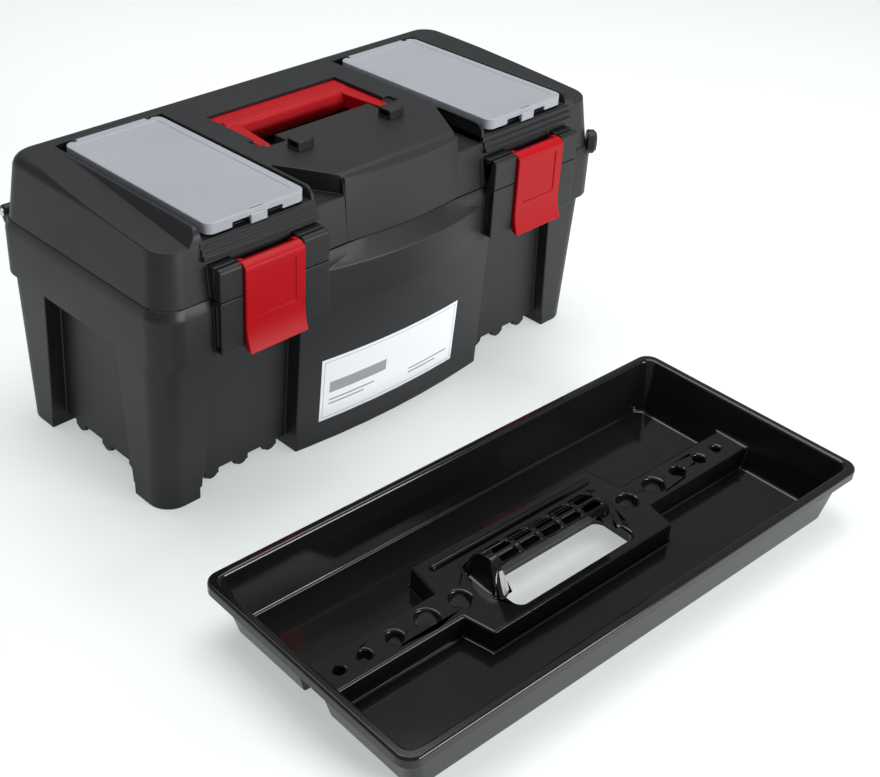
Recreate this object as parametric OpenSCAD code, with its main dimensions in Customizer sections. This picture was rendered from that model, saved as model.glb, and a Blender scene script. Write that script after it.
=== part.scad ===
// Hard tool case: base, hinged lid with two organizers, two latches, folding handle, lift-out tray.
// X runs along the case, Y to the back, Z up. The origin is under the middle of the base.

/* [Case] */
// Length of the case over its collar
case_length = 550; // [520:1:580]
// Depth of the case over its collar, without the bowed middle, latches and hinges
case_depth = 254; // [246:1:262]
// Height of the parting plane between base and lid
parting_z = 207; // [204:1:210]
// Height of the lid's top face
lid_top_z = 268; // [264:1:272]
// Radius of the case's upright corners
corner_r = 26; // [20:1:32]
// Wall thickness of the base and the lid
wall = 2.6; // [2:0.1:3.4]

/* [Base] */
// Length over the corner posts at the floor
foot_length = 542; // [536:1:544]
// Depth over the corner posts at the floor
foot_depth = 222; // [216:1:228]
// Height of the collar's lower edge
collar_z = 153; // [148:1:158]
// Length of the body just under the collar
body_top_length = 546; // [542:1:548]
// Depth of the body just under the collar
body_top_depth = 236; // [230:1:242]
// How far the front and back panels sit behind the posts
panel_recess = 13; // [8:1:16]
// How far the end panels sit behind the posts
end_recess = 16; // [8:1:18]
// Height of the floor's underside between the feet
floor_z = 12; // [8:1:16]
// Half width of the bowed middle panel
middle_half = 122; // [112:1:126]
// How far the collar's front bows out in the middle
collar_bow = 13; // [8:1:16]
// Half width of the collar's bow
collar_bow_half = 98; // [90:1:102]

/* [Latches] */
// Distance of each latch's middle from the case's middle
latch_x = 166; // [160:1:172]
// Width of a latch
latch_width = 64; // [58:1:66]
// Height of the latch's lower lip
latch_low_z = 153; // [150:1:158]
// Distance of the latch pivot in front of the case's middle
latch_pivot_y = 129; // [128:1:130]
// Height of the latch pivot
latch_pivot_z = 229; // [226:1:232]
// Radius of a latch pin
latch_pin_r = 2; // [1.6:0.1:2.4]

/* [Lid hinge] */
// Distance of the hinge axis behind the case's middle
hinge_y = 135; // [134:0.5:138]
// Height of the hinge axis
hinge_z = 200; // [198:1:202]
// Radius of a hinge pin
hinge_pin_r = 2.5; // [2:0.1:3]

/* [Organizers] */
// Distance of each organizer's middle from the case's middle
organizer_x = 165.6; // [164:0.2:167]
// Middle of the organizers along Y
organizer_y = -12.7; // [-14:0.1:-12]
// Width of an organizer cover
cover_width = 104.4; // [102:0.2:106]
// Length of an organizer cover
cover_length = 207.6; // [205:0.2:209]
// Height of a cover's top face
cover_top_z = 269.3; // [268.8:0.1:270]
// Depth of an organizer bin below its flange
bin_depth = 35; // [25:1:42]

/* [Handle] */
// Width over the handle's arms
handle_width = 159.6; // [150:0.2:160]
// Middle of the grip along Y when folded
grip_y = 43; // [41:1:44]
// Radius of the grip
grip_r = 13; // [11:0.5:13.5]
// Distance of the handle pivot in front of the case's middle
handle_pivot_y = 14; // [12:0.5:15]
// Height of the handle pivot
handle_pivot_z = 256; // [255:0.5:257]

/* [Tray] */
// Length over the tray's rim
tray_length = 534; // [520:1:534]
// Depth over the tray's rim
tray_depth = 239; // [226:1:239]
// Height of the tray's rim
tray_height = 52; // [46:1:58]
// Height of the rib and the plateau above the tray's underside
rib_height = 22; // [18:1:26]
// Place of the tray's middle on the floor
tray_place = [-70.7, -375, 0];
// Turn of the tray on the floor
tray_turn = -2.5; // [-5:0.5:5]

/* [Hidden] */
$fn = 64;

hull_fn = 32;
seat_gap = 0.3;          // drawn gap between parts that rest on each other across a joint
skin = 0.02;             // thickness of the thin slabs that a hull spans
plastic_black = [0.16, 0.16, 0.17];
plastic_red = [0.75, 0.05, 0.1];
plastic_clear = [0.8, 0.8, 0.83, 0.6];
steel = [0.7, 0.7, 0.72];

// Base
shoulder_z = parting_z - 10;                 // where the collar's upright face ends
shoulder_in = 3.75;                          // how far the sloped shoulder runs in
bow_r = (pow(collar_bow_half, 2) + pow(collar_bow, 2)) / (2 * collar_bow);
bow_y = bow_r - case_depth / 2 - collar_bow;  // middle of the bow's arc
bow_turn_z = 190;                            // where the bow's upright face starts to lean back
bow_crease = 12;                             // how far it leans back up to the parting plane
crease_r = bow_r - bow_crease;
crease_y = bow_y + case_depth / 2 - shoulder_in;
crease_half = sqrt(pow(crease_r, 2) - pow(crease_y, 2));
body_scale = [body_top_length / foot_length, body_top_depth / foot_depth];
inner_scale = [(body_top_length - 2 * wall) / (foot_length - 2 * wall),
    (body_top_depth - 2 * wall) / (foot_depth - 2 * wall)];
cavity_z = floor_z + wall;
body_lean = atan((body_top_depth - foot_depth) / 2 / collar_z);
end_lean = atan((body_top_length - foot_length) / 2 / collar_z);
post_low = 40;                               // width of a post's front face at the floor
post_rise = 17;                              // how much wider it is under the collar
post_low_end = 44;                           // width of a post's end face at the floor
post_rise_end = 13;
front_tooth_gap = 34;                        // from tooth to tooth along the floor's edge
end_tooth_gap = 43;
middle_low = [3, 11];                        // middle panel's stand-out at its edge and centre, at the floor
middle_high = [3, 16];                       // the same under the collar
label_x = [-98, 76.5];
label_low_z = 26;
label_high_z = 95;
label_thick = 0.5;

// Latch blocks, as [inner x, outer x] from the case's middle
inner_block = [104, latch_x - latch_width / 2 - 1];
outer_block = [latch_x + latch_width / 2 + 1, 222];
block_front = 137;
block_low_z = 158;
block_high_z = 237;
block_round = 4;
pin_hold = 14;                               // how deep a latch pin sits in each block
catch_z = 178;
catch_out = case_depth / 2 + 3.7;

// Lid
foot_half = [case_length / 2 - shoulder_in - 0.3, case_depth / 2 - shoulder_in - 0.3];
lid_foot_z = parting_z + seat_gap;
lid_mid_z = 255;                             // where the leaning sides turn into the top
lid_mid_half = [265, 117];
lid_round = 10;                              // how far the top's round edge reaches in
lid_round_steps = 5;
end_step_x = [227, 235];                     // slanted wall from the top down to the step at the lid's ends
end_step_deep = 10;
end_step_y = [-200, 62, 70];                 // the step slopes up to the back, then meets the top
end_step_z = [249.2, 267.5, lid_top_z + 0.1];
pocket_z = 257;                              // floor of the organizer pockets
pocket_x = [107.5, 223.5];
pocket_back = 97;
pocket_rib = 3.5;                            // rib that stands between a pocket and the side step
side_step_z = 250;
ledge_front = 116.4;                         // front ledges: first front, step, lower side, fall
ledge_step = 2.4;
ledge_low_z = 241;
ledge_fall = 5;
plate_half = 70;                             // half width of the bowed plate at the front
plate_wide = 102;                            // and where its flanks end
plate_wide_y = -58;
plate_front = [117, 124];                    // distance of the plate's front edge at its ends and centre
plate_foot = [foot_half[1], foot_half[1] + crease_r - crease_y];
handle_bay_z = 236;
arm_bay_z = 246;
bay_half = handle_width / 2 + 0.7;
bay_y = [-10, 63.6];                         // the handle bay's front and back
arm_bay_x = 58;
arm_bay_front = -26;
handle_back = 62.5;
lug_place = [56, -45.5];
hinge_rows = [[202.5, 213], [250, 260.5]];
hinge_lid = [213.5, 249.5];
hinge_knuckle_r = 6.5;

// Organizer covers
cover_plate = 2;
cover_skirt_z = 259.6;
cover_axis_y = organizer_y + cover_length / 2 + 1.4;
cover_axis_z = 267;
cover_barrel_r = 2.3;
cover_stub_r = 1.2;
cover_wall = 1.6;
cover_border = 8;                            // raised border round the cover's panel
cover_panel_deep = 0.5;
scallop = 18;                                // the skirt's front is cut back beside the snap
scallop_x = 17.5;
scallop_high = 4;
snap = 17;
gate_places = [-6, -33];                     // two moulding marks on the cover, from its middle
ear_half = 38;
bin_size = [98, 192];
bin_rim_z = 265.6;

// Tray
tray_floor = [488, 208];                     // inside floor of the tray
tray_mouth = [518, 223];
tray_wall = 2.4;
hole_places = [101, 137, 170.5, 201, 226];
hole_sizes = [18.5, 20, 14, 11.5, 9];
sleeve_wall = 1.6;                           // each tool hole goes on down as a sleeve
sleeve_z = 2;
rib_width = 34;
plateau_x = [107, 113];                      // half width of the plateau at its far edges and at the rib
plateau_y = [-45.5, 52];
rim_r = 14;                                  // corner radius of the tray's rim
grip_hole = [140, 42];
grip_hole_y = -15;
skirt_z = 10;                                // lower edge of the wall that hangs round the grip's hole
barrel_y = 5;                                // the ribbed grip over the hole: part of a round barrel
barrel_z = 25;
barrel_r = 19;
barrel_wall = 3;
barrel_half = 64;
barrel_end = 4;
foot_front = [70.5, -14, 7];                 // discs that the grip's ends spread to, as x, y, radius
foot_back = [70, 19, 6];
lattice_half = 62;
lattice_columns = 5;
lattice_bar = 5;
lattice_rows = [[-40, -25], [-20, 1], [9, 31]];      // openings, in degrees from the top to the front
lip_angle = 37;                              // where the barrel turns down into the front lip
lip_fall = 10;
bead_x = [-93, 92];
bead_y = 40;
bead_r = 3;

// ---------- shared outlines ----------

// Rectangle with round corners, middle at the origin
module round_rect(size, r) {
    square([size[0] - 2 * r, size[1]], center = true);
    square([size[0], size[1] - 2 * r], center = true);
    for (sx = [-1, 1], sy = [-1, 1])
        translate([sx * (size[0] / 2 - r), sy * (size[1] / 2 - r)]) circle(r);
}

// Thin slab for a hull
module slab(z) translate([0, 0, z]) linear_extrude(skin) children();

// Extrudes an outline drawn in Y and Z along X, from x0 to x1
module along_x(x0, x1) translate([x0, 0, 0]) rotate([90, 0, 90]) linear_extrude(x1 - x0) children();

// Round bar along X
module bar_x(x0, x1, y, z, r) translate([x0, y, z]) rotate([0, 90, 0]) cylinder(h = x1 - x0, r = r);

// Copies to the left and right side
module both_sides() for (s = [0, 1]) mirror([s, 0, 0]) children();

// ---------- base ----------

// Recess between a post and the middle panel; grow widens it for the inside of the wall
module front_recess(grow) {
    x_mid = middle_half - grow - 8;
    x_low = foot_length / 2 - post_low + grow;
    x_high = foot_length / 2 - post_low - post_rise + grow;
    translate([0, -foot_depth / 2 + panel_recess + grow, 0]) rotate([body_lean, 0, 0])
        translate([0, 0, -5]) rotate([90, 0, 0]) linear_extrude(60)
            polygon([[x_mid, 0], [x_low, 0], [x_high, collar_z + 12], [x_mid, collar_z + 12]]);
}

// Recess in the middle of an end
module end_recess_cut(grow) {
    y_low = foot_depth / 2 - post_low_end + grow;
    y_high = y_low - post_rise_end;
    translate([foot_length / 2 - end_recess - grow, 0, 0]) rotate([0, end_lean, 0])
        translate([0, 0, -5]) rotate([90, 0, 90]) linear_extrude(60)
            polygon([[-y_low, 0], [y_low, 0], [y_high, collar_z + 12], [-y_high, collar_z + 12]]);
}

module all_recesses(grow) {
    both_sides() {
        front_recess(grow);
        mirror([0, 1, 0]) front_recess(grow);
        end_recess_cut(grow);
    }
}

// Bowed middle panel as a solid; inset draws its inner face, which opens into the mouth
module middle_panel(inset) {
    top = collar_z + (inset > 0 ? wall + 1 : 0);
    hull() {
        slab(0) bow_panel(foot_depth / 2, middle_low, inset, $fn = hull_fn);
        slab(top) bow_panel(body_top_depth / 2, middle_high, inset, $fn = hull_fn);
    }
}

module bow_panel(depth, proud, inset) {
    half = middle_half - inset;
    translate([-half, -depth - proud[0] + inset]) square([2 * half, 40]);
    r = (middle_half * middle_half + pow(proud[1] - proud[0], 2)) / (2 * (proud[1] - proud[0]));
    intersection() {
        translate([0, -depth - proud[1] + r + inset]) circle(r, $fn = 160);
        translate([-half, -depth - proud[1] - 2]) square([2 * half, 32]);
    }
}

module body_outside() {
    difference() {
        linear_extrude(collar_z, scale = body_scale, slices = 1)
            round_rect([foot_length, foot_depth], 22, $fn = hull_fn);
        all_recesses(0);
    }
    middle_panel(0);
}

module body_inside() {
    difference() {
        linear_extrude(collar_z + wall + 1, scale = inner_scale, slices = 1)
            round_rect([foot_length - 2 * wall, foot_depth - 2 * wall], 20, $fn = hull_fn);
        all_recesses(wall);
    }
    middle_panel(wall);
}

// Bowed front of the collar from z0 up: upright, then leaning back to over above the parting plane
module bowed_front(inset, z0, over) {
    lean_high = parting_z + over - bow_turn_z;
    half = collar_bow_half + 3 - inset;
    intersection() {
        translate([0, bow_y, 0]) {
            translate([0, 0, z0]) cylinder(h = bow_turn_z - z0, r = bow_r - inset);
            translate([0, 0, bow_turn_z]) cylinder(h = lean_high, r1 = bow_r - inset,
                r2 = bow_r - inset - bow_crease * lean_high / (parting_z - bow_turn_z));
        }
        translate([-half, -case_depth / 2 - collar_bow - 1, z0 - 1]) cube([2 * half, collar_bow + 20, 80]);
    }
}

// Sloped shoulder between the collar's upright face and the parting plane
module shoulder() {
    h = parting_z - shoulder_z;
    straight = [case_length / 2 - corner_r, case_depth / 2 - corner_r];
    for (m = [0, 1]) mirror([0, m, 0]) along_x(-straight[0], straight[0])
        polygon([[-1, 0], [case_depth / 2, 0], [case_depth / 2 - shoulder_in, h], [-1, h]]);
    both_sides() rotate([0, 0, -90]) along_x(-straight[1], straight[1])
        polygon([[straight[0] - 1, 0], [case_length / 2, 0], [case_length / 2 - shoulder_in, h],
            [straight[0] - 1, h]]);
    both_sides() for (m = [0, 1]) mirror([0, m, 0])
        translate(straight) cylinder(h = h, r1 = corner_r, r2 = corner_r - shoulder_in);
}

module teeth() {
    for (k = [-1, 0, 1]) {
        both_sides() for (m = [0, 1]) mirror([0, m, 0])
            translate([174 + front_tooth_gap * k, -foot_depth / 2 + panel_recess, 3]) tooth();
        both_sides() rotate([0, 0, 90]) translate([end_tooth_gap * k, -foot_length / 2 + end_recess, 3]) tooth();
    }
}

module tooth() {
    translate([-8, 0, 3]) cube([16, wall + 2, floor_z - 2]);
    translate([0, 0, 3]) intersection() {
        translate([-8, 0, -3]) cube([16, wall + 2, 4]);
        translate([0, -1, 5]) rotate([-90, 0, 0]) cylinder(h = wall + 4, r = 8);
    }
}

module lower_latch_blocks() {
    for (b = [inner_block, outer_block])
        translate([b[0], -block_front, block_low_z])
            cube([b[1] - b[0], block_front - case_depth / 2 + 1.5, parting_z - block_low_z]);
    translate([latch_x - 26, -catch_out, catch_z]) cube([52, catch_out - case_depth / 2 + 1.5, 4]);
}

// Outline of a hinge ear on the base, in Y and Z
module base_ear_outline() {
    translate([hinge_y, hinge_z]) circle(hinge_knuckle_r);
    polygon([[case_depth / 2 - 1.5, 178], [case_depth / 2, 178], [hinge_y + 5.6, hinge_z - 3.3],
        [hinge_y - 3, hinge_z + 5.7], [case_depth / 2 - 1.5, shoulder_z]]);
}

module base_shell() color(plastic_black) {
    difference() {
        union() {
            body_outside();
            translate([0, 0, collar_z]) linear_extrude(shoulder_z - collar_z)
                round_rect([case_length, case_depth], corner_r);
            translate([0, 0, shoulder_z]) shoulder();
            bowed_front(0, collar_z, 0);
            both_sides() {
                lower_latch_blocks();
                for (row = hinge_rows) along_x(row[0], row[1]) base_ear_outline();
            }
        }
        intersection() {
            body_inside();
            translate([-300, -200, cavity_z]) cube([600, 400, 200]);
        }
        mouth();
        underside();
        both_sides() for (row = hinge_rows)
            bar_x(row[0] - 1, row[1] + 1, hinge_y, hinge_z, hinge_pin_r);
        both_sides() block_hollows();
    }
    corner_boss();
    teeth();
    cylinder(h = floor_z + 1, r = 40);
    cross_ribs();
}

// Inside of the collar, open at the top
module mouth() {
    translate([0, 0, collar_z + wall]) linear_extrude(parting_z - collar_z)
        round_rect([case_length - 2 * shoulder_in - 2 * wall, case_depth - 2 * shoulder_in - 2 * wall],
            corner_r - 5);
    bowed_front(wall + 1, collar_z + wall, 2);
}

// Hollow under the floor: only the four feet and the rim of the middle panel reach the ground
module underside() {
    side = foot_length / 2 - post_low;
    both_sides() translate([middle_half, -200, -1]) cube([side - middle_half, 400, floor_z + 1]);
    translate([0, 0, (floor_z - 1) / 2])
        cube([foot_length + 50, foot_depth - 2 * post_low_end, floor_z + 1], center = true);
    translate([-middle_half + 3, -foot_depth / 2, -1])
        cube([2 * middle_half - 6, foot_depth, floor_z + 1]);
}

module cross_ribs() {
    translate([-middle_half + 2, -1.5, 3]) cube([2 * middle_half - 4, 3, floor_z - 2]);
    translate([-1.5, -foot_depth / 2 + 2, 3]) cube([3, foot_depth - 4, floor_z - 2]);
}

// Upright hollows in the free side faces of the lower latch blocks
module block_hollows() {
    deep = 3;
    for (x = [inner_block[0] - 1, outer_block[1] - deep])
        translate([x, -block_front + 2, block_low_z + 3])
            cube([deep + 1, block_front - case_depth / 2 - 2.5, parting_z - block_low_z - 8]);
}

// Small round boss on the collar's right front corner, clear of the lid
module corner_boss() {
    boss_r = 12;
    start = corner_r - 4;
    bevel = 3;
    translate([case_length / 2 - corner_r, corner_r - case_depth / 2, parting_z])
        rotate([0, 0, -45]) rotate([0, 90, 0]) {
            translate([0, 0, start]) cylinder(h = 7, r = boss_r);
            translate([0, 0, start + 6.9]) cylinder(h = bevel, r1 = boss_r, r2 = boss_r - bevel);
        }
}

module front_label() color([0.9, 0.9, 0.9]) {
    intersection() {
        difference() {
            middle_panel(-label_thick);
            middle_panel(0);
        }
        translate([label_x[0], -200, label_low_z])
            cube([label_x[1] - label_x[0], 100, label_high_z - label_low_z]);
    }
}

module hinge_pin() color(steel) {
    bar_x(hinge_rows[0][0] - 0.5, hinge_rows[1][1] + 0.5, hinge_y, hinge_z, hinge_pin_r);
    bar_x(hinge_rows[1][1] + 0.3, hinge_rows[1][1] + 2, hinge_y, hinge_z, hinge_pin_r + 1.5);
}

module hinge_pin_right() hinge_pin();
module hinge_pin_left() mirror([1, 0, 0]) hinge_pin();

// ---------- lid ----------

// Lid without its bow: leaning sides, then a quarter round
module lid_block(inset) {
    rise = lid_top_z - inset - lid_mid_z;
    hull() {
        slab(lid_foot_z - (inset > 0 ? 1 : 0))
            round_rect([2 * (foot_half[0] - inset), 2 * (foot_half[1] - inset)], 24 - inset, $fn = hull_fn);
        for (k = [0 : lid_round_steps]) {
            a = 90 * k / lid_round_steps;
            drawn_in = lid_round * (1 - cos(a)) + inset;
            slab(lid_mid_z + (rise - skin) * sin(a))
                round_rect([2 * (lid_mid_half[0] - drawn_in), 2 * (lid_mid_half[1] - drawn_in)],
                    22 - drawn_in / 2, $fn = hull_fn);
        }
    }
}

// Bowed front of the lid under the plate
module plate_front_solid(inset) {
    hull() {
        slab(lid_foot_z - (inset > 0 ? 1 : 0)) plate_slice(plate_foot, crease_half, inset);
        slab(lid_top_z - 2 - inset) plate_slice(plate_front, plate_half, inset);
    }
}

// Level of the plate: straight at edge[0], bowed out to edge[1] between -half and half
module plate_slice(edge, half, inset) {
    rise = edge[1] - edge[0];
    r = (half * half + rise * rise) / (2 * rise);
    translate([inset - plate_half, inset - edge[0]]) square([2 * (plate_half - inset), 40]);
    intersection() {
        translate([0, r + inset - edge[1]]) circle(r, $fn = 120);
        translate([inset - half, -edge[1]]) square([2 * (half - inset), 30]);
    }
}

// Step at each end of the lid, outside its organizer: a slanted wall, then a slope down to the front
module end_step(grow) {
    x0 = end_step_x[0] - grow;
    x1 = end_step_x[1] - grow;
    intersection() {
        along_x(x0 - 1, 340)
            polygon([[end_step_y[0], end_step_z[0] - grow], [end_step_y[1] + grow, end_step_z[1] - grow],
                [end_step_y[2] + grow, end_step_z[2] - grow], [end_step_y[2] + grow, 330],
                [end_step_y[0], 330]]);
        translate([0, 300, 0]) rotate([90, 0, 0]) linear_extrude(600)
            polygon([[x0, 340], [x0, lid_top_z], [x1, lid_top_z - end_step_deep],
                [2 * x1 - x0, lid_top_z - 2 * end_step_deep], [350, lid_top_z - 2 * end_step_deep],
                [350, 340]]);
    }
}

// Everything that is sunk into the lid from above; grow adds the wall around it
module lid_sinks(grow) {
    both_sides() {
        end_step(grow);
        translate([pocket_x[0] - grow, -200, pocket_z - grow])
            cube([pocket_x[1] - pocket_x[0] + 2 * grow, 200 + pocket_back + grow, 60]);
        translate([0, 0, side_step_z - grow]) linear_extrude(60)
            polygon([[plate_half + 1 - grow, -200], [plate_half + 1 - grow, -112],
                [plate_wide - grow, plate_wide_y + grow],
                [pocket_x[0] - pocket_rib, plate_wide_y + grow], [pocket_x[0] - pocket_rib, -200]]);
    }
    translate([-bay_half - grow, bay_y[0] - grow, handle_bay_z - grow])
        cube([2 * (bay_half + grow), bay_y[1] - bay_y[0] + 2 * grow, 60]);
    both_sides() {
        translate([arm_bay_x - grow, arm_bay_front - grow, arm_bay_z - grow])
            cube([bay_half - arm_bay_x + 2 * grow, bay_y[0] - arm_bay_front + 4 + grow, 60]);
        translate([bay_half - 1 - grow, -handle_pivot_y - 7 - grow, handle_pivot_z + 8.4 - grow])
            cube([8 + 2 * grow, 14 + 2 * grow, 30]);
    }
}

// Outline of an upper latch block, in Y and Z
module block_outline() {
    y0 = latch_pivot_y;
    translate([-y0, parting_z + 0.6]) square([y0 - 116, block_high_z - parting_z - 0.6]);
    translate([-block_front, parting_z + 0.6])
        square([block_front - y0 + 0.5, block_high_z - block_round - parting_z - 0.6]);
    translate([-block_front + block_round, block_high_z - block_round]) circle(block_round);
}

// Outline of the lid's hinge knuckle and its arm, in Y and Z
module lid_knuckle_outline() {
    translate([hinge_y, hinge_z]) circle(hinge_knuckle_r);
    polygon([[118.5, parting_z + 1], [128.3, parting_z + 1], [hinge_y - 5.2, hinge_z + 3.9],
        [hinge_y + 2, hinge_z + 6.2], [128, parting_z + 11], [118.5, parting_z + 16]]);
}

module lid_shell() color(plastic_black) {
    difference() {
        union() {
            difference() {
                union() { lid_block(0); plate_front_solid(0); }
                lid_sinks(0);
            }
            both_sides() {
                for (b = [inner_block, outer_block]) along_x(b[0], b[1]) block_outline();
                along_x(hinge_lid[0], hinge_lid[1]) lid_knuckle_outline();
                for (k = [1 : 3]) front_ledge(k);
                cover_ears();
                bar_x(bay_half + 1, bay_half + 7, -handle_pivot_y, handle_pivot_z, 8);
            }
        }
        difference() {
            union() { lid_block(wall); plate_front_solid(wall); }
            lid_sinks(wall);
            both_sides() bar_x(bay_half + 1, bay_half + 7, -handle_pivot_y, handle_pivot_z, 8);
        }
        both_sides() {
            bar_x(inner_block[0] - 1, outer_block[0] + pin_hold + 0.3, -latch_pivot_y, latch_pivot_z,
                latch_pin_r);
            bar_x(hinge_lid[0] - 1, hinge_lid[1] + 1, hinge_y, hinge_z, hinge_pin_r + 0.06);
            bar_x(bay_half - 2, bay_half + 5, -handle_pivot_y, handle_pivot_z, 4.06);
            translate([organizer_x, organizer_y, pocket_z - 10])
                linear_extrude(30) round_rect([bin_size[0] + 0.6, bin_size[1] + 0.6], 8.3);
            bar_x(organizer_x - ear_half - 5, organizer_x + ear_half + 5, cover_axis_y, cover_axis_z,
                cover_stub_r + 0.05);
        }
    }
}

// One of the ledges that step down from a pocket to the latch
module front_ledge(k) {
    high = pocket_z - 1 - ledge_fall * (k - 1) - ledge_low_z;
    translate([pocket_x[0] - pocket_rib, -ledge_front - ledge_step * k, ledge_low_z])
        cube([pocket_x[1] - pocket_x[0] + 2 * pocket_rib, 12, high]);
}

// Two ears that hold a cover's hinge stubs
module cover_ears() {
    for (s = [-1, 1]) translate([organizer_x + s * (ear_half + 1.9), 0, 0])
        along_x(-1.6, 1.6) {
            translate([cover_axis_y, cover_axis_z]) circle(cover_barrel_r);
            translate([cover_axis_y - 2, pocket_z - 1]) square([4, cover_axis_z - pocket_z + 1]);
        }
}

// ---------- latches ----------

// Latch seen from its end, in Y and Z: pivot head, flat panel, lip that curves out
module latch_panel_outline() {
    f = 140;
    polygon(concat(
        [[-latch_pivot_y - 2, latch_pivot_z + 7.3], [-latch_pivot_y - 6.5, latch_pivot_z + 6.5],
            [-f + 0.6, latch_pivot_z + 3.6], [-f, latch_pivot_z]],
        [for (k = [0 : 6]) [-f - 5 * pow(k / 6, 2), 180 - (180 - latch_low_z) * k / 6]],
        [for (k = [6 : -1 : 0]) [-f + 3.4 - 5 * pow(k / 6, 2), 180.6 - (180 - latch_low_z) * k / 6]],
        [[-f + 3.4, latch_pivot_z - 2], [-latch_pivot_y - 4, latch_pivot_z + 2]]));
}

module latch_flange_outline() {
    translate([-latch_pivot_y, latch_pivot_z]) circle(7.4);
    polygon([[-latch_pivot_y + 0.4, latch_pivot_z - 7.3], [-139, latch_pivot_z + 3],
        [-139, 178], [-143, 156], [-139, 154.5], [-128.6, 166]]);
}

module latch() color(plastic_red) {
    x0 = latch_x - latch_width / 2;
    x1 = latch_x + latch_width / 2;
    difference() {
        union() {
            along_x(x0, x1) latch_panel_outline();
            along_x(x0, x0 + 5) latch_flange_outline();
            along_x(x1 - 5, x1) latch_flange_outline();
            bar_x(x0, x1, -latch_pivot_y, latch_pivot_z, 5.5);
            along_x(latch_x - 26, latch_x + 26)
                polygon([[-137, 168], [-131.1, 173], [-131.1, 176], [-137, 177.5]]);
        }
        bar_x(x0 - 1, x1 + 1, -latch_pivot_y, latch_pivot_z, latch_pin_r + 0.06);
        translate([x0 + 10, -141, 184]) cube([latch_width - 20, 1.9, 42]);
    }
}

module latch_right() latch();
module latch_left() mirror([1, 0, 0]) latch();

module latch_pin() color(steel)
    bar_x(inner_block[1] - pin_hold, outer_block[0] + pin_hold, -latch_pivot_y, latch_pivot_z,
        latch_pin_r);

module latch_pin_right() latch_pin();
module latch_pin_left() mirror([1, 0, 0]) latch_pin();

// ---------- handle ----------

// Round grip with a flat flange along its back, two arms that narrow to the front, and trunnions
module handle() color(plastic_red) {
    outer = handle_width / 2;
    arm = [10, 16];                          // width of an arm at its front and at the grip
    bar_x(-outer + 4, outer - 4, grip_y, lid_top_z - 2 - grip_r, grip_r);
    translate([-outer, grip_y + 2, lid_top_z - 8]) cube([2 * outer, handle_back - grip_y - 2, 5]);
    both_sides() {
        intersection() {
            along_x(outer - arm[1] - 1, outer) {
                translate([-handle_pivot_y, handle_pivot_z]) circle(8.6);
                translate([-handle_pivot_y, handle_pivot_z - 6.5])
                    square([handle_pivot_y + grip_y + 9, 15]);
            }
            translate([0, 0, handle_pivot_z - 20]) linear_extrude(40)
                polygon([[outer - arm[0], -handle_pivot_y - 9], [outer + 1, -handle_pivot_y - 9],
                    [outer + 1, 80], [outer - arm[1], 80], [outer - arm[1], grip_y - grip_r - 4]]);
        }
        bar_x(outer - 1, outer + 4.5, -handle_pivot_y, handle_pivot_z, 4);
    }
}

// ---------- lugs on the plate ----------

// Small block with a round end and a hollow in its other end
module lug() color(plastic_black) {
    difference() {
        union() {
            translate([-11, -8, 0]) cube([14, 16, 9]);
            translate([3, 0, 0]) cylinder(h = 9, r = 8);
        }
        translate([-12, -5.5, 2]) cube([9, 11, 5]);
    }
}

module lug_right() translate([lug_place[0], lug_place[1], lid_top_z]) lug();
module lug_left() translate([-lug_place[0], lug_place[1], lid_top_z]) lug();

// ---------- organizers ----------

module organizer_bin() color(plastic_black) {
    low = pocket_z - bin_depth;
    translate([organizer_x, organizer_y, 0]) difference() {
        union() {
            translate([0, 0, low]) linear_extrude(bin_rim_z - low) round_rect(bin_size, 8);
            translate([0, 0, pocket_z + 0.05]) linear_extrude(1.5)
                round_rect([bin_size[0] + 4, bin_size[1] + 4], 9);
        }
        translate([0, 0, low + 1.8]) linear_extrude(60)
            round_rect([bin_size[0] - 3.6, bin_size[1] - 3.6], 6.2);
    }
}

module organizer_bin_right() organizer_bin();
module organizer_bin_left() mirror([1, 0, 0]) organizer_bin();

module divider(place) color(plastic_black) {
    low = pocket_z - bin_depth + 1.8;
    width = bin_size[0] - 3.6;
    translate([organizer_x - width / 2 + 0.2, organizer_y + place - 0.8, low])
        cube([width - 0.4, 1.6, bin_rim_z - low - 2]);
}

module organizer_divider_right_front() divider(-36);
module organizer_divider_right_back() divider(30);
module organizer_divider_left_front() mirror([1, 0, 0]) divider(-36);
module organizer_divider_left_back() mirror([1, 0, 0]) divider(30);

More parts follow.
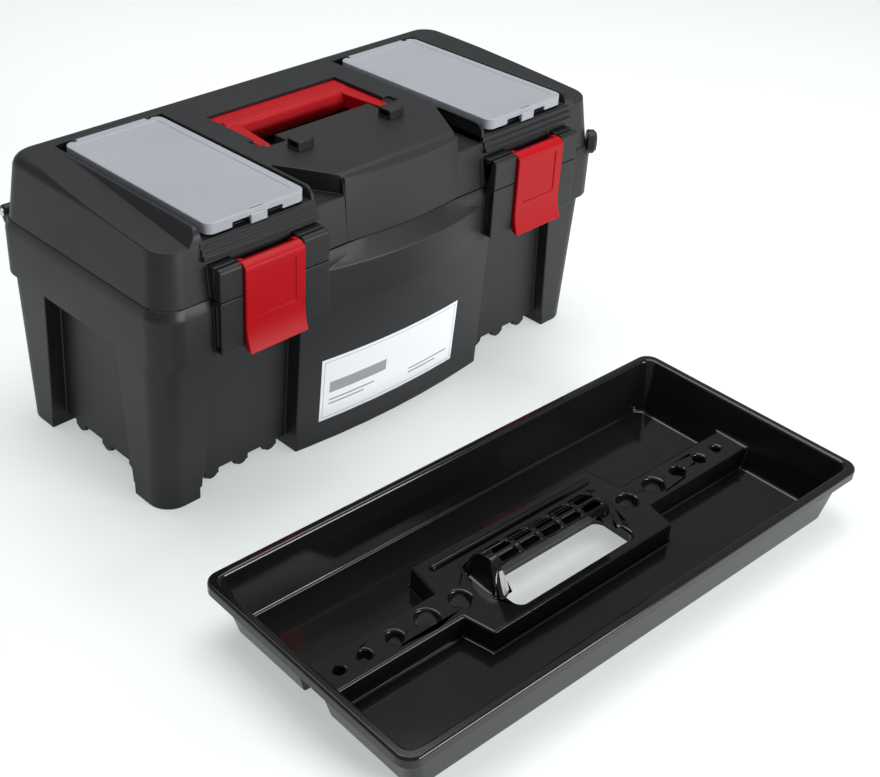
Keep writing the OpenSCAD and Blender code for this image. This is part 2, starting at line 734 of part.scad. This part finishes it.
module cover() color(plastic_clear) {
    front = -cover_length / 2;
    difference() {
        union() {
            translate([organizer_x, organizer_y, cover_skirt_z])
                linear_extrude(cover_top_z - cover_skirt_z) round_rect([cover_width, cover_length], 8);
            bar_x(organizer_x - ear_half, organizer_x + ear_half, cover_axis_y, cover_axis_z,
                cover_barrel_r);
        }
        translate([organizer_x, organizer_y, 0]) {
            translate([0, 0, cover_skirt_z - 1])
                linear_extrude(cover_top_z - cover_skirt_z + 1 - cover_plate)
                    round_rect([cover_width - 2 * cover_wall, cover_length - 2 * cover_wall],
                        8 - cover_wall);
            translate([0, 0, cover_top_z - cover_panel_deep]) linear_extrude(1)
                round_rect([cover_width - 2 * cover_border, cover_length - 2 * cover_border], 3);
            for (s = [-1, 1]) translate([s * scallop_x - scallop / 2, front - 1, cover_skirt_z - 1])
                cube([scallop, 4, scallop_high + 1]);
            translate([-snap / 2 + 2, front + 1.9, cover_top_z - 3]) cube([snap - 4, 1.4, 4]);
        }
        for (s = [-1, 1]) translate([organizer_x + s * (ear_half + 2), cover_axis_y, cover_skirt_z + 2.4])
            cube([4.4, 7, 30], center = true);
    }
    for (s = [-1, 1]) translate([organizer_x + s * (ear_half + 1.1), 0, 0])
        bar_x(-2.1, 2.1, cover_axis_y, cover_axis_z, cover_stub_r);
    translate([organizer_x - snap / 2, organizer_y + front - 2.2, cover_skirt_z - 2.1])
        cube([snap, 2.6, 8]);
    for (y = gate_places) translate([organizer_x, organizer_y + y, cover_top_z - 1])
        cylinder(h = 0.8, r = 2);
}

module organizer_cover_right() cover();
module organizer_cover_left() mirror([1, 0, 0]) cover();

// ---------- tray ----------

module tray_outside() hull() {
    slab(0) round_rect([tray_floor[0] + 2 * tray_wall, tray_floor[1] + 2 * tray_wall], rim_r - 2,
        $fn = hull_fn);
    slab(tray_height - skin) round_rect([tray_mouth[0] + 2 * tray_wall, tray_mouth[1] + 2 * tray_wall],
        rim_r - 2, $fn = hull_fn);
}

module tray_inside() hull() {
    slab(tray_wall) round_rect(tray_floor, rim_r - 4, $fn = hull_fn);
    slab(tray_height + 1) round_rect(tray_mouth, rim_r - 4, $fn = hull_fn);
}

// Rib and plateau seen from above; inset draws the hollow under them
module rib_outline(inset) {
    square([2 * tray_floor[0], rib_width - 2 * inset], center = true);
    far = plateau_x[0] - inset;
    near = plateau_x[1] - inset;
    turn = rib_width / 2 - inset;
    polygon([[-far, plateau_y[0] + inset], [far, plateau_y[0] + inset], [near, -turn], [near, turn],
        [far, plateau_y[1] - inset], [-far, plateau_y[1] - inset], [-near, turn], [-near, -turn]]);
}

// Hooded grip over the hole: a pierced barrel with a front lip, its ends spread to round feet
module tray_grip() {
    lip_y = barrel_y - barrel_r * sin(lip_angle);
    lip_z = barrel_z + barrel_r * cos(lip_angle);
    difference() {
        bar_x(-barrel_half - 1, barrel_half + 1, barrel_y, barrel_z, barrel_r);
        bar_x(-barrel_half, barrel_half, barrel_y, barrel_z, barrel_r - barrel_wall);
        translate([-100, barrel_y - 30, rib_height - 31]) cube([200, 60, 30]);
        translate([0, barrel_y, barrel_z]) {
            along_x(-barrel_half, barrel_half) grip_sector(lip_angle, 110);
            pitch = 2 * lattice_half / lattice_columns;
            for (k = [0 : lattice_columns - 1], row = lattice_rows)
                translate([-lattice_half + (k + 0.5) * pitch, 0, 0])
                    along_x((lattice_bar - pitch) / 2, (pitch - lattice_bar) / 2) grip_sector(row[0], row[1]);
        }
    }
    translate([-barrel_half - 1, lip_y, lip_z - lip_fall])
        cube([2 * barrel_half + 2, barrel_wall, lip_fall - 0.8]);
    both_sides() hull() {
        intersection() {
            bar_x(barrel_half, barrel_half + barrel_end, barrel_y, barrel_z, barrel_r);
            translate([0, barrel_y - 30, rib_height - 1]) cube([100, 60, 60]);
        }
        for (foot = [foot_front, foot_back])
            translate([foot[0], foot[1], rib_height - 1.5]) cylinder(h = 1.5, r = foot[2]);
    }
}

// Sector of the grip in Y and Z between two angles, counted from the top to the front
module grip_sector(a0, a1) {
    near = barrel_r - 9;
    far = 2 * barrel_r;
    polygon([[-near * sin(a0), near * cos(a0)], [-far * sin(a0), far * cos(a0)],
        [-far * sin(a1), far * cos(a1)], [-near * sin(a1), near * cos(a1)]]);
}

// Round bead along the plateau's back edge
module bead() {
    z = rib_height + 0.8;
    bar_x(bead_x[0], bead_x[1], bead_y, z, bead_r);
    for (x = bead_x) translate([x, bead_y, z]) sphere(bead_r);
}

// Tub, rim and rib, with the hollow under the rib
module tray_body() {
    difference() {
        union() {
            difference() { tray_outside(); tray_inside(); }
            intersection() {
                linear_extrude(rib_height) rib_outline(0);
                tray_outside();
            }
            translate([0, 0, tray_height - 2.2]) linear_extrude(2.2) tray_rim();
            translate([0, 0, tray_height - 9]) linear_extrude(9) difference() {
                round_rect([tray_length, tray_depth], rim_r);
                round_rect([tray_length - 4, tray_depth - 4], rim_r - 2);
            }
        }
        translate([0, 0, -1]) linear_extrude(rib_height + 1 - tray_wall) rib_outline(tray_wall);
    }
}

module tray() color(plastic_black)
    translate(tray_place) rotate([0, 0, tray_turn]) {
        difference() {
            union() {
                tray_body();
                both_sides() for (k = [0 : 4]) translate([hole_places[k], 0, sleeve_z])
                    cylinder(h = rib_height - 1 - sleeve_z, r = hole_sizes[k] / 2 + sleeve_wall);
                translate([0, grip_hole_y, skirt_z]) linear_extrude(rib_height - 1 - skirt_z)
                    round_rect([grip_hole[0] + 4, grip_hole[1] + 4], 10);
            }
            both_sides() for (k = [0 : 4]) translate([hole_places[k], 0, 0])
                cylinder(h = rib_height + 1, r = hole_sizes[k] / 2);
            translate([0, grip_hole_y, 0]) linear_extrude(rib_height + 1) round_rect(grip_hole, 8);
        }
        tray_grip();
        bead();
    }

module tray_rim() difference() {
    round_rect([tray_length, tray_depth], rim_r);
    round_rect([tray_mouth[0] + 0.5, tray_mouth[1] + 0.5], rim_r - 4);
}

base_shell();
front_label();
hinge_pin_left();
hinge_pin_right();
lid_shell();
latch_left();
latch_right();
latch_pin_left();
latch_pin_right();
handle();
lug_left();
lug_right();
organizer_bin_left();
organizer_bin_right();
organizer_divider_left_front();
organizer_divider_left_back();
organizer_divider_right_front();
organizer_divider_right_back();
organizer_cover_left();
organizer_cover_right();
tray();
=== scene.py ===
import math

import bmesh
import bpy
from mathutils import Matrix, Vector


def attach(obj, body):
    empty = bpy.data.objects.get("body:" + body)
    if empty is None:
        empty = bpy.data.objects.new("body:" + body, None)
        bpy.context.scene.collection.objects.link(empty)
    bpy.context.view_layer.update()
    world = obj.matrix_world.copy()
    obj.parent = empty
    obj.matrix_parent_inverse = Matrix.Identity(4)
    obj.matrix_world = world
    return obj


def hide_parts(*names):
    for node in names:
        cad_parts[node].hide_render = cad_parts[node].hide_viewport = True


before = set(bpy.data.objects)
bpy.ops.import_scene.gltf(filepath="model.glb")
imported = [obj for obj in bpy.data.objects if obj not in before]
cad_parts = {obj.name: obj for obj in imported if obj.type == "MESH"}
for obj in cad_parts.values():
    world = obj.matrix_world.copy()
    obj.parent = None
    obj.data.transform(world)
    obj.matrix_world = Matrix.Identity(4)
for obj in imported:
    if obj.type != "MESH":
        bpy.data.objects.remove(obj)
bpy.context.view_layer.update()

# ---- View ----
# The photograph's own viewpoint, found from the case's straight edges: high in front of the left
# corner, with a small roll. Its optical axis runs left of the picture's middle, which the shift gives.
scene = bpy.context.scene
view_azimuth = math.radians(-42.9)
view_elevation = math.radians(32.05)
view_roll = math.radians(1.21)
view_place = Vector((-0.8201, -0.9189, 0.7777))
picture = (880, 777)
axis_pixel = (336.82, 352.6)
focal_pixels = 1405.89

back = Vector((
    math.sin(view_azimuth) * math.cos(view_elevation),
    -math.cos(view_azimuth) * math.cos(view_elevation),
    math.sin(view_elevation)))
right = (-back).cross(Vector((0, 0, 1))).normalized()
up = right.cross(-back)
cos_roll, sin_roll = math.cos(view_roll), math.sin(view_roll)
right_rolled = cos_roll * right + sin_roll * up
up_rolled = cos_roll * up - sin_roll * right
lens = bpy.data.cameras.new("camera")
lens.sensor_width = 36.0
lens.lens = focal_pixels / picture[0] * lens.sensor_width
lens.shift_x = (picture[0] / 2 - axis_pixel[0]) / picture[0]
lens.shift_y = (axis_pixel[1] - picture[1] / 2) / picture[0]
camera = bpy.data.objects.new("camera", lens)
turn = Matrix((right_rolled, up_rolled, back)).transposed()
camera.matrix_world = Matrix.Translation(view_place) @ turn.to_4x4()
scene.collection.objects.link(camera)
scene.camera = camera
scene.view_settings.view_transform = "Standard"

# ---- Studio ----
# A white product set: a pale floor, an even white surround and one wide soft box over the case,
# with a smaller one at the front left for the highlights along the edges.
floor_half = 6.0
floor_drop = 0.0002
floor_glow_level = 0.42
surround_level = 0.33
white_seen = (0.96, 0.99, 1.0, 1)

world = bpy.data.worlds.new("surround")
scene.world = world
world.use_nodes = True
sky = world.node_tree
sky.nodes.clear()
sky_out = sky.nodes.new("ShaderNodeOutputWorld")
sky_light = sky.nodes.new("ShaderNodeBackground")
sky_light.inputs["Color"].default_value = (0.95, 0.98, 1.0, 1)
sky_light.inputs["Strength"].default_value = surround_level
sky_seen = sky.nodes.new("ShaderNodeBackground")
sky_seen.inputs["Color"].default_value = white_seen
sky_pick = sky.nodes.new("ShaderNodeMixShader")
sky_path = sky.nodes.new("ShaderNodeLightPath")
sky.links.new(sky_path.outputs["Is Camera Ray"], sky_pick.inputs["Fac"])
sky.links.new(sky_light.outputs[0], sky_pick.inputs[1])
sky.links.new(sky_seen.outputs[0], sky_pick.inputs[2])
sky.links.new(sky_pick.outputs[0], sky_out.inputs["Surface"])


def soft_box(name, place, aim, width, height, watts):
    """Rectangular lamp at place that shines towards aim."""
    lamp = bpy.data.lights.new(name, "AREA")
    lamp.shape = "RECTANGLE"
    lamp.size, lamp.size_y, lamp.energy = width, height, watts
    holder = bpy.data.objects.new(name, lamp)
    holder.location = place
    holder.rotation_euler = (Vector(aim) - Vector(place)).to_track_quat("-Z", "Y").to_euler()
    scene.collection.objects.link(holder)


soft_box("soft_box_top", place=(0.2, 0.2, 1.9), aim=(0, -0.1, 0.1), width=1.9, height=1.3, watts=30)
soft_box("soft_box_front", place=(0.5, -2.2, 0.6), aim=(0, -0.1, 0.15), width=1.2, height=0.8, watts=42)


def flat_mesh(name, corners):
    """One face through the corners."""
    mesh = bpy.data.meshes.new(name)
    mesh.from_pydata(corners, [], [range(len(corners))])
    sheet = bpy.data.objects.new(name, mesh)
    scene.collection.objects.link(sheet)
    return sheet


def node_material(name):
    """New material with its Principled shader: (material, nodes, links, shader)."""
    material = bpy.data.materials.new(name)
    material.use_nodes = True
    tree = material.node_tree
    return material, tree.nodes, tree.links, tree.nodes["Principled BSDF"]


floor = flat_mesh("floor", [(x * floor_half, y * floor_half, -floor_drop)
                            for x, y in ((-1, -1), (1, -1), (1, 1), (-1, 1))])
floor_paint, floor_nodes, floor_links, floor_shader = node_material("floor_paint")
floor_shader.inputs["Base Color"].default_value = (0.6, 0.62, 0.62, 1)
floor_shader.inputs["Roughness"].default_value = 0.9
floor_shader.inputs["Specular IOR Level"].default_value = 0.1
floor_path = floor_nodes.new("ShaderNodeLightPath")
floor_seen = floor_nodes.new("ShaderNodeMath")
floor_seen.operation = "ADD"
floor_through = floor_nodes.new("ShaderNodeMath")
floor_through.operation = "ADD"
floor_glow = floor_nodes.new("ShaderNodeMath")
floor_glow.operation = "MULTIPLY"
floor_glow.inputs[1].default_value = floor_glow_level
floor_shader.inputs["Emission Color"].default_value = (0.96, 1.0, 1.0, 1)
floor_links.new(floor_path.outputs["Is Camera Ray"], floor_seen.inputs[0])
floor_links.new(floor_path.outputs["Is Glossy Ray"], floor_seen.inputs[1])
floor_links.new(floor_seen.outputs[0], floor_through.inputs[0])
floor_links.new(floor_path.outputs["Is Transmission Ray"], floor_through.inputs[1])
floor_links.new(floor_through.outputs[0], floor_glow.inputs[0])
floor_links.new(floor_glow.outputs[0], floor_shader.inputs["Emission Strength"])
floor.data.materials.append(floor_paint)

# ---- Base shell ----
# Injection moulded from black polypropylene in one shot: posts, panels, collar, latch blocks and
# hinge ears are one wall about 2.6 mm thick. The mould is spark eroded, which leaves a fine matt grain.
cloud_scale, cloud_detail = 14, 5
grain_detail, grain_deep = 3, 0.0002
wave_scale, wave_share, wave_deep = 9, 0.1, 0.002
plastic_ior = 1.49


def grained_plastic(name, colours, roughness, grain, grain_size, sheen_level=0.5, clear=None):
    """Moulded plastic: two tones in soft clouds, roughness between two values and a fine grain in relief."""
    material, nodes, links, shader = node_material(name)
    place = nodes.new("ShaderNodeTexCoord")
    clouds = nodes.new("ShaderNodeTexNoise")
    clouds.inputs["Scale"].default_value = cloud_scale
    clouds.inputs["Detail"].default_value = cloud_detail
    tone = nodes.new("ShaderNodeMix")
    tone.data_type = "RGBA"
    tone.inputs["A"].default_value = (*colours[0], 1)
    tone.inputs["B"].default_value = (*colours[1], 1)
    gloss = nodes.new("ShaderNodeMapRange")
    gloss.inputs["To Min"].default_value, gloss.inputs["To Max"].default_value = roughness
    grains = nodes.new("ShaderNodeTexNoise")
    grains.inputs["Scale"].default_value = 1 / grain_size
    grains.inputs["Detail"].default_value = grain_detail
    waves = nodes.new("ShaderNodeTexNoise")
    waves.inputs["Scale"].default_value = wave_scale
    relief = nodes.new("ShaderNodeBump")
    relief.inputs["Strength"].default_value = grain
    relief.inputs["Distance"].default_value = grain_deep
    sink = nodes.new("ShaderNodeBump")
    sink.inputs["Strength"].default_value = wave_share
    sink.inputs["Distance"].default_value = wave_deep
    for texture in (clouds, grains, waves):
        links.new(place.outputs["Object"], texture.inputs["Vector"])
    links.new(clouds.outputs["Fac"], tone.inputs["Factor"])
    links.new(clouds.outputs["Fac"], gloss.inputs["Value"])
    links.new(tone.outputs["Result"], shader.inputs["Base Color"])
    links.new(gloss.outputs["Result"], shader.inputs["Roughness"])
    links.new(waves.outputs["Fac"], sink.inputs["Height"])
    links.new(sink.outputs["Normal"], relief.inputs["Normal"])
    links.new(grains.outputs["Fac"], relief.inputs["Height"])
    links.new(relief.outputs["Normal"], shader.inputs["Normal"])
    shader.inputs["Specular IOR Level"].default_value = sheen_level
    if clear:
        shader.inputs["Transmission Weight"].default_value = clear
        shader.inputs["IOR"].default_value = plastic_ior
    return material


no_end = 1.0  # farther than any face reaches


def room_beside(edge, face):
    """How far the face reaches from the middle of its edge, straight across it."""
    ends = [vert.co for vert in edge.verts]
    middle = (ends[0] + ends[1]) / 2
    along = (ends[1] - ends[0]).normalized()
    loop = next(loop for loop in face.loops if loop.edge == edge)
    inward = face.normal.cross((loop.link_loop_next.vert.co - loop.vert.co).normalized())
    nearest = no_end
    for other in face.edges:
        near, far = (vert.co - middle for vert in other.verts)
        near_along, far_along = near.dot(along), far.dot(along)
        if other != edge and (near_along > 0) != (far_along > 0):
            part = near_along / (near_along - far_along)
            across = near.lerp(far, part).dot(inward)
            if 1e-6 < across < nearest:
                nearest = across
    return nearest


many_sides = 40
faces_down = -0.5


def many_sided_underside(face):
    """A face under a rim or a top that runs round an opening, where no rounding is seen."""
    return len(face.verts) > many_sides and face.normal.z < faces_down


same_place = 2e-6
flat_angle = math.radians(1)
sharp_angle = math.radians(55)
room_share = 0.42  # how much of a narrow face its roundings may take up from each side


def softened(node, radius, material, body, least_angle=28.0, steps=2):
    """Copy of a part from model.glb with its sharp edges rounded, less where a face is narrow, finished and
    fixed.
    """
    piece = bpy.data.objects.new(node + "_finish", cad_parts[node].data.copy())
    scene.collection.objects.link(piece)
    old_normals = piece.data.attributes.get("custom_normal")
    if old_normals:
        piece.data.attributes.remove(old_normals)
    form = bmesh.new()
    form.from_mesh(piece.data)
    bmesh.ops.remove_doubles(form, verts=form.verts, dist=same_place)
    bmesh.ops.dissolve_limit(form, angle_limit=flat_angle, verts=form.verts, edges=form.edges)
    form.normal_update()
    share = form.edges.layers.float.new("bevel_weight_edge")
    for edge in form.edges:
        if len(edge.link_faces) != 2 or any(many_sided_underside(face) for face in edge.link_faces):
            continue
        if edge.calc_face_angle(0) > math.radians(least_angle):
            room = min(room_beside(edge, face) for face in edge.link_faces)
            edge[share] = min(1.0, room_share * room / radius)
    bmesh.ops.triangulate(form, faces=[face for face in form.faces if many_sided_underside(face)])
    form.to_mesh(piece.data)
    form.free()
    piece.data.shade_smooth()
    piece.data.set_sharp_from_angle(angle=sharp_angle)
    rounding = piece.modifiers.new("rounding", "BEVEL")
    rounding.limit_method = "WEIGHT"
    rounding.width = radius
    rounding.segments = steps
    rounding.use_clamp_overlap = False
    flatness = piece.modifiers.new("flatness", "WEIGHTED_NORMAL")
    flatness.keep_sharp = True
    made_plain(piece)
    piece.data.materials.clear()
    piece.data.materials.append(material)
    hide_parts(node)
    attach(piece, body)
    return piece


def made_plain(piece):
    """Turns what the piece's modifiers make into its own mesh."""
    bpy.context.view_layer.update()
    seen = piece.evaluated_get(bpy.context.evaluated_depsgraph_get())
    plain = bpy.data.meshes.new_from_object(seen)
    piece.modifiers.clear()
    piece.data = plain


case_grain = 0.0007
case_edge = 0.0009
case_black = grained_plastic("case_black", [(0.009, 0.0095, 0.0105), (0.014, 0.0145, 0.016)],
                             roughness=(0.4, 0.52), grain=0.35, grain_size=case_grain, sheen_level=0.35)
softened("base_shell", case_edge, case_black, "base")

# ---- Front label ----
# A pale printed film, stuck on the bowed middle panel. It carries no words: a border line, a grey wash
# that fades to white at the right, and rows of plain bars.
film_ends = (-0.098, 0.0765)
film_sides = (0.026, 0.095)
film_border = 0.003
film_line = 0.0006
film_marks = [((-0.088, -0.02), (0.056, 0.068)), ((-0.088, -0.034), (0.047, 0.0488)),
              ((-0.088, -0.046), (0.0425, 0.0443)), ((0.012, 0.066), (0.042, 0.0438)),
              ((0.012, 0.05), (0.0375, 0.0393))]
label_film, film_nodes, film_links, film_shader = node_material("label_film")
film_place = film_nodes.new("ShaderNodeTexCoord")
film_axes = film_nodes.new("ShaderNodeSeparateXYZ")
film_links.new(film_place.outputs["Object"], film_axes.inputs[0])


def film_math(operation, *inputs):
    """Math node of the film over links or numbers."""
    node = film_nodes.new("ShaderNodeMath")
    node.operation = operation
    for socket, value in zip(node.inputs, inputs):
        if isinstance(value, float):
            socket.default_value = value
        else:
            film_links.new(value, socket)
    return node.outputs[0]


def printed_box(ends, sides):
    """1 inside the box in X and Z, else 0."""
    reach = [film_math("COMPARE", film_axes.outputs[axis], (low + high) / 2, (high - low) / 2)
             for axis, (low, high) in (("X", ends), ("Z", sides))]
    return film_math("MULTIPLY", *reach)


def drawn_in(span, inset):
    """The span from low to high, shorter by the inset at both ends."""
    return span[0] + inset, span[1] - inset


border_boxes = [printed_box(drawn_in(film_ends, inset), drawn_in(film_sides, inset))
                for inset in (film_border, film_border + film_line)]
ink = film_math("SUBTRACT", *border_boxes)
for mark in film_marks:
    ink = film_math("MAXIMUM", ink, printed_box(*mark))
wash = film_nodes.new("ShaderNodeMapRange")
wash.inputs["From Min"].default_value, wash.inputs["From Max"].default_value = film_ends
wash.inputs["To Min"].default_value, wash.inputs["To Max"].default_value = 0.25, 0.0
film_links.new(film_axes.outputs["X"], wash.inputs["Value"])
paper = film_nodes.new("ShaderNodeMix")
paper.data_type = "RGBA"
paper.inputs["A"].default_value = (0.9, 0.92, 0.95, 1)
paper.inputs["B"].default_value = (0.55, 0.57, 0.61, 1)
film_links.new(wash.outputs["Result"], paper.inputs["Factor"])
print_over = film_nodes.new("ShaderNodeMix")
print_over.data_type = "RGBA"
print_over.inputs["B"].default_value = (0.3, 0.31, 0.33, 1)
film_links.new(ink, print_over.inputs["Factor"])
film_links.new(paper.outputs["Result"], print_over.inputs["A"])
film_links.new(print_over.outputs["Result"], film_shader.inputs["Base Color"])
film_shader.inputs["Roughness"].default_value = 0.3
softened("front_label", 0.0001, label_film, "base")

# ---- Rear hinge pins ----
# Two headed wire pins, pressed through the base's rear ears; the lid's knuckles turn on them.
pin_wire, _, _, wire_shader = node_material("pin_wire")
wire_shader.inputs["Base Color"].default_value = (0.6, 0.6, 0.62, 1)
wire_shader.inputs["Metallic"].default_value = 1
wire_shader.inputs["Roughness"].default_value = 0.35
for side in ("left", "right"):
    softened("hinge_pin_" + side, 0.0004, pin_wire, "base")

# ---- Lid shell ----
# Moulded from the same black polypropylene: rounded top that steps down at its ends, two organizer
# pockets, the handle's bay, the bowed plate, the upper latch blocks and the hinge knuckles.
softened("lid_shell", case_edge, case_black, "lid")

# ---- Latch pins and latches ----
# Each latch is moulded in red polypropylene and turns on a steel pin between two blocks of the lid.
latch_red = grained_plastic("latch_red", [(0.36, 0.0, 0.003), (0.41, 0.001, 0.005)],
                            roughness=(0.36, 0.46), grain=0.25, grain_size=case_grain, sheen_level=0.2)
for side in ("left", "right"):
    softened("latch_pin_" + side, 0.0003, pin_wire, "lid")
    softened("latch_" + side, case_edge, latch_red, "latch_" + side)

# ---- Handle ----
# Moulded in the same red: a round grip between two flat arms that turn on trunnions in the lid.
softened("handle", 0.0014, latch_red, "handle", steps=3)

# ---- Lugs ----
# Two small black blocks on the plate in front of the handle, one end round and the other hollow.
for side in ("left", "right"):
    softened("lug_" + side, 0.0008, case_black, "lid")

# ---- Organizer bins ----
# Black bins that drop into the lid's pockets, each with two thin dividers in slots.
for side in ("left", "right"):
    softened("organizer_bin_" + side, 0.0006, case_black, "lid")
    for place in ("front", "back"):
        softened("organizer_divider_" + side + "_" + place, 0.0003, case_black, "lid")

# ---- Organizer covers ----
# Frosted clear polypropylene: a raised border round a flat panel, a short skirt and a snap tab at
# the front. Each swings on two stubs at its back edge.
cover_frost = grained_plastic("cover_frost", [(0.46, 0.48, 0.52), (0.52, 0.54, 0.58)],
                              roughness=(0.3, 0.42), grain=0.2, grain_size=0.0006, clear=0.3)
for side in ("left", "right"):
    softened("organizer_cover_" + side, 0.0006, cover_frost, "cover_" + side)

# ---- Tray ----
# Lift-out tray in smooth glossy black polypropylene: a flanged rim, a rib with ten tool holes, and a
# plateau with a see-through hole and a ribbed grip.
tray_gloss = grained_plastic("tray_gloss", [(0.005, 0.005, 0.0055), (0.008, 0.008, 0.009)],
                             roughness=(0.09, 0.15), grain=0.05, grain_size=0.0009, sheen_level=0.4)
softened("tray", 0.0022, tray_gloss, "tray", steps=3)
